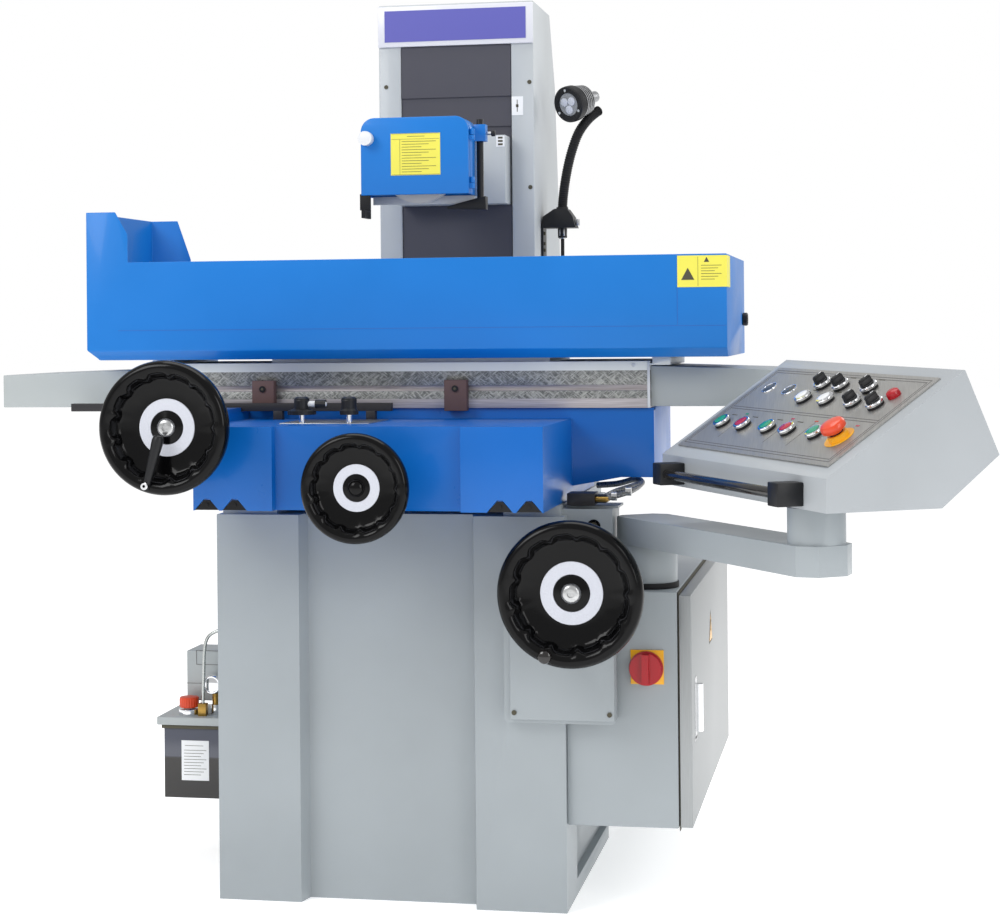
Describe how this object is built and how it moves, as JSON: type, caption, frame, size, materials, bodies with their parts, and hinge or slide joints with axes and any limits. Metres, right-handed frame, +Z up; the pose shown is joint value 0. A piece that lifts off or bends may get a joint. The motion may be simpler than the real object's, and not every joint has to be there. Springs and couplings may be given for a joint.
{
  "type": "surface grinder",
  "caption": "Horizontal-spindle surface grinder: cast base and column, sliding saddle and table with splash tray and magnetic chuck, rising wheel head, handwheels, swing-arm control pendant.",
  "frame": {"origin": "middle of the bounding box's footprint, on the floor", "axes": "+X to the operator's right along the table, +Y away from the operator towards the column, +Z up"},
  "size_m": [1.8734, 1.6107, 1.739],
  "materials": {
    "grey_paint": "satin grey paint",
    "pale_grey_paint": "satin pale grey paint",
    "blue_paint": "glossy blue paint",
    "deep_blue_paint": "glossy deep blue paint",
    "dark_cover": "dark grey matt",
    "machined_steel": "ground",
    "scraped_iron": "scraped, sides painted",
    "black_enamel": "gloss black",
    "black_plastic": "matt",
    "rubber_black": "matt",
    "brown_iron": "rough",
    "wheel_grit": "vitrified white grit",
    "chrome": "polished",
    "panel_aluminium": "brushed",
    "green_plastic": "gloss",
    "red_plastic": "gloss",
    "white_plastic": "gloss",
    "orange_plastic": "gloss",
    "smoked_tank": "translucent smoke"
  },
  "bodies": {
    "base": {"base_casting": "grey_paint", "column_casting": "pale_grey_paint", "name_plate": "blue_paint", "upper_way_cover": "dark_cover", "elevating_gear_cover": "grey_paint", "electrical_cabinet": "pale_grey_paint", "arm_post": "grey_paint", "lamp_mount": "black_plastic", "gooseneck_lower": "rubber_black", "lamp_cable": "rubber_black", "lubricator_tank": "smoked_tank", "lubricator_pump": "grey_paint"},
    "saddle": {"saddle_casting": "deep_blue_paint"},
    "cross_wheel": {"cross_handwheel": "black_enamel"},
    "table_wheel": {"longitudinal_handwheel": "black_enamel"},
    "crank_handle": {"folding_crank_handle": "black_plastic"},
    "reverse_lever": {"reverse_lever": "black_plastic"},
    "throttle": {"throttle_knob": "black_plastic"},
    "table": {"work_table": "scraped_iron", "splash_guard": "blue_paint", "magnetic_chuck": "machined_steel", "left_table_cover": "pale_grey_paint", "right_table_cover": "pale_grey_paint"},
    "left_dog": {"left_table_dog": "brown_iron"},
    "right_dog": {"right_table_dog": "brown_iron"},
    "elevating_wheel": {"elevating_handwheel": "black_enamel"},
    "screw": {"elevating_screw": "machined_steel"},
    "head": {"head_casting": "pale_grey_paint", "head_way_cover": "dark_cover", "lower_way_cover": "dark_cover", "wheel_guard": "blue_paint"},
    "middle_cover": {"middle_way_cover": "dark_cover"},
    "spindle": {"spindle": "machined_steel", "grinding_wheel": "wheel_grit"},
    "guard_cover": {"guard_cover": "blue_paint"},
    "guard_knob": {"guard_cover_knob": "white_plastic"},
    "nozzle": {"coolant_nozzle": "black_plastic"},
    "door": {"cabinet_door": "pale_grey_paint"},
    "door_lock": {"door_lock_handle": "chrome"},
    "main_switch": {"main_switch_knob": "red_plastic"},
    "arm": {"swing_arm": "grey_paint"},
    "pendant": {"pendant_console": "pale_grey_paint", "pendant_panel": "panel_aluminium", "pendant_handle": "black_plastic"},
    "lamp": {"gooseneck_upper": "rubber_black", "lamp_head": "machined_steel"},
    "filler_cap": {"filler_cap": "orange_plastic"},
    "emergency_stop": {"emergency_stop": "orange_plastic"},
    "green_button_1": {"green_button_1": "green_plastic"},
    "green_button_2": {"green_button_2": "green_plastic"},
    "green_button_3": {"green_button_3": "green_plastic"},
    "red_button_1": {"red_button_1": "red_plastic"},
    "red_button_2": {"red_button_2": "red_plastic"},
    "white_button_1": {"white_button_1": "white_plastic"},
    "white_button_2": {"white_button_2": "white_plastic"},
    "selector_1": {"selector_1": "black_plastic"},
    "selector_2": {"selector_2": "black_plastic"},
    "selector_3": {"selector_3": "black_plastic"},
    "selector_4": {"selector_4": "black_plastic"},
    "selector_5": {"selector_5": "black_plastic"}
  },
  "joints": [
    {"name": "cross_slide", "type": "slide", "parent": "base", "child": "saddle", "axis": [0, 1, 0], "range_m": [-0.06, 0.15]},
    {"name": "cross_handwheel_turn", "type": "hinge", "parent": "saddle", "child": "cross_wheel", "pos_m": [-0.12434, -0.50846, 0.772], "axis": [0, 1, 0], "range_deg": [-4356, 10836]},
    {"name": "table_slide", "type": "slide", "parent": "saddle", "child": "table", "axis": [1, 0, 0], "range_m": [-0.28, 0.28]},
    {"name": "table_handwheel_turn", "type": "hinge", "parent": "saddle", "child": "table_wheel", "pos_m": [-0.45534, -0.52646, 0.876], "axis": [0, 1, 0], "continuous": true},
    {"name": "crank_handle_fold", "type": "hinge", "parent": "table_wheel", "child": "crank_handle", "pos_m": [-0.48225, -0.55846, 0.77761], "axis": [0.9646, 0, -0.2639], "range_deg": [0, 90]},
    {"name": "reverse_lever_turn", "type": "hinge", "parent": "saddle", "child": "reverse_lever", "pos_m": [-0.27434, -0.31346, 0.89], "axis": [0, 0, 1], "range_deg": [-30, 30]},
    {"name": "throttle_turn", "type": "hinge", "parent": "saddle", "child": "throttle", "pos_m": [-0.18634, -0.31346, 0.89], "axis": [0, 0, 1], "range_deg": [-120, 120]},
    {"name": "left_dog_slide", "type": "slide", "parent": "table", "child": "left_dog", "axis": [1, 0, 0], "range_m": [-0.14, 0.15]},
    {"name": "right_dog_slide", "type": "slide", "parent": "table", "child": "right_dog", "axis": [1, 0, 0], "range_m": [-0.05, 0.3]},
    {"name": "elevating_handwheel_turn", "type": "hinge", "parent": "base", "child": "elevating_wheel", "pos_m": [0.23166, -0.42346, 0.5875], "axis": [0, 1, 0], "range_deg": [-12960, 3240]},
    {"name": "elevating_screw_turn", "type": "hinge", "parent": "base", "child": "screw", "pos_m": [-0.05534, 0.48654, 1], "axis": [0, 0, 1], "continuous": true},
    {"name": "head_slide", "type": "slide", "parent": "base", "child": "head", "axis": [0, 0, 1], "range_m": [-0.1805, 0.0455]},
    {"name": "middle_cover_slide", "type": "slide", "parent": "base", "child": "middle_cover", "axis": [0, 0, 1], "range_m": [-0.091, 0.0235]},
    {"name": "spindle_turn", "type": "hinge", "parent": "head", "child": "spindle", "pos_m": [-0.13934, 0.11654, 1.368], "axis": [0, 1, 0], "continuous": true},
    {"name": "guard_cover_hinge", "type": "hinge", "parent": "head", "child": "guard_cover", "pos_m": [-0.02734, 0.05054, 1.38], "axis": [0, 0, 1], "range_deg": [0, 110]},
    {"name": "guard_knob_turn", "type": "hinge", "parent": "guard_cover", "child": "guard_knob", "pos_m": [-0.23534, 0.02654, 1.416], "axis": [0, 1, 0], "range_deg": [0, 180]},
    {"name": "nozzle_turn", "type": "hinge", "parent": "head", "child": "nozzle", "pos_m": [-0.02334, 0.11154, 1.37], "axis": [0, 0, 1], "range_deg": [0, 60]},
    {"name": "door_hinge", "type": "hinge", "parent": "base", "child": "door", "pos_m": [0.42066, 0.57754, 0.362], "axis": [0, 0, 1], "range_deg": [0, 110]},
    {"name": "door_lock_turn", "type": "hinge", "parent": "door", "child": "door_lock", "pos_m": [0.42766, -0.19796, 0.385], "axis": [1, 0, 0], "range_deg": [0, 90]},
    {"name": "main_switch_turn", "type": "hinge", "parent": "base", "child": "main_switch", "pos_m": [0.34166, -0.28346, 0.438], "axis": [0, 1, 0], "range_deg": [0, 90]},
    {"name": "arm_swing", "type": "hinge", "parent": "base", "child": "arm", "pos_m": [0.33866, -0.19346, 0.676], "axis": [0, 0, 1], "range_deg": [-18, 0]},
    {"name": "pendant_swivel", "type": "hinge", "parent": "arm", "child": "pendant", "pos_m": [0.65466, -0.65046, 0.76], "axis": [0, 0, 1], "range_deg": [-60, 20]},
    {"name": "green_button_1_press", "type": "slide", "parent": "pendant", "child": "green_button_1", "axis": [0.4542, 0.3031, -0.8378], "range_m": [0, 0.004], "stiffness_N_per_m": 300},
    {"name": "green_button_2_press", "type": "slide", "parent": "pendant", "child": "green_button_2", "axis": [0.4542, 0.3031, -0.8378], "range_m": [0, 0.004], "stiffness_N_per_m": 300},
    {"name": "green_button_3_press", "type": "slide", "parent": "pendant", "child": "green_button_3", "axis": [0.4542, 0.3031, -0.8378], "range_m": [0, 0.004], "stiffness_N_per_m": 300},
    {"name": "red_button_1_press", "type": "slide", "parent": "pendant", "child": "red_button_1", "axis": [0.4542, 0.3031, -0.8378], "range_m": [0, 0.004], "stiffness_N_per_m": 300},
    {"name": "red_button_2_press", "type": "slide", "parent": "pendant", "child": "red_button_2", "axis": [0.4542, 0.3031, -0.8378], "range_m": [0, 0.004], "stiffness_N_per_m": 300},
    {"name": "white_button_1_press", "type": "slide", "parent": "pendant", "child": "white_button_1", "axis": [0.4542, 0.3031, -0.8378], "range_m": [0, 0.004], "stiffness_N_per_m": 300},
    {"name": "white_button_2_press", "type": "slide", "parent": "pendant", "child": "white_button_2", "axis": [0.4542, 0.3031, -0.8378], "range_m": [0, 0.004], "stiffness_N_per_m": 300},
    {"name": "emergency_stop_press", "type": "slide", "parent": "pendant", "child": "emergency_stop", "axis": [0.4542, 0.3031, -0.8378], "range_m": [0, 0.004]},
    {"name": "selector_1_turn", "type": "hinge", "parent": "pendant", "child": "selector_1", "pos_m": [0.70939, -0.58488, 0.92206], "axis": [-0.4542, -0.3031, 0.8378], "range_deg": [-45, 45]},
    {"name": "selector_2_turn", "type": "hinge", "parent": "pendant", "child": "selector_2", "pos_m": [0.74509, -0.64157, 0.92091], "axis": [-0.4542, -0.3031, 0.8378], "range_deg": [-45, 45]},
    {"name": "selector_3_turn", "type": "hinge", "parent": "pendant", "child": "selector_3", "pos_m": [0.65874, -0.43999, 0.94702], "axis": [-0.4542, -0.3031, 0.8378], "range_deg": [-45, 45]},
    {"name": "selector_4_turn", "type": "hinge", "parent": "pendant", "child": "selector_4", "pos_m": [0.68911, -0.48822, 0.94603], "axis": [-0.4542, -0.3031, 0.8378], "range_deg": [-45, 45]},
    {"name": "selector_5_turn", "type": "hinge", "parent": "pendant", "child": "selector_5", "pos_m": [0.73547, -0.56183, 0.94454], "axis": [-0.4542, -0.3031, 0.8378], "range_deg": [-45, 45]},
    {"name": "lamp_bend", "type": "hinge", "parent": "base", "child": "lamp", "pos_m": [0.09666, 0.53654, 1.42], "axis": [0, 1, 0], "range_deg": [-12, 25]},
    {"name": "filler_cap_turn", "type": "hinge", "parent": "base", "child": "filler_cap", "pos_m": [-0.59634, -0.00546, 0.308], "axis": [0, 0, 1], "range_deg": [0, 170]}
  ],
  "couplings": [
    {"joint": "cross_handwheel_turn", "follows": "cross_slide", "rad_per_m": 1256.6},
    {"joint": "table_handwheel_turn", "follows": "table_slide", "rad_per_m": 71.942},
    {"joint": "elevating_screw_turn", "follows": "elevating_handwheel_turn", "ratio": 1},
    {"joint": "head_slide", "follows": "elevating_handwheel_turn", "m_per_rad": 0.00079577},
    {"joint": "middle_cover_slide", "follows": "elevating_handwheel_turn", "m_per_rad": 0.00039789}
  ]
}
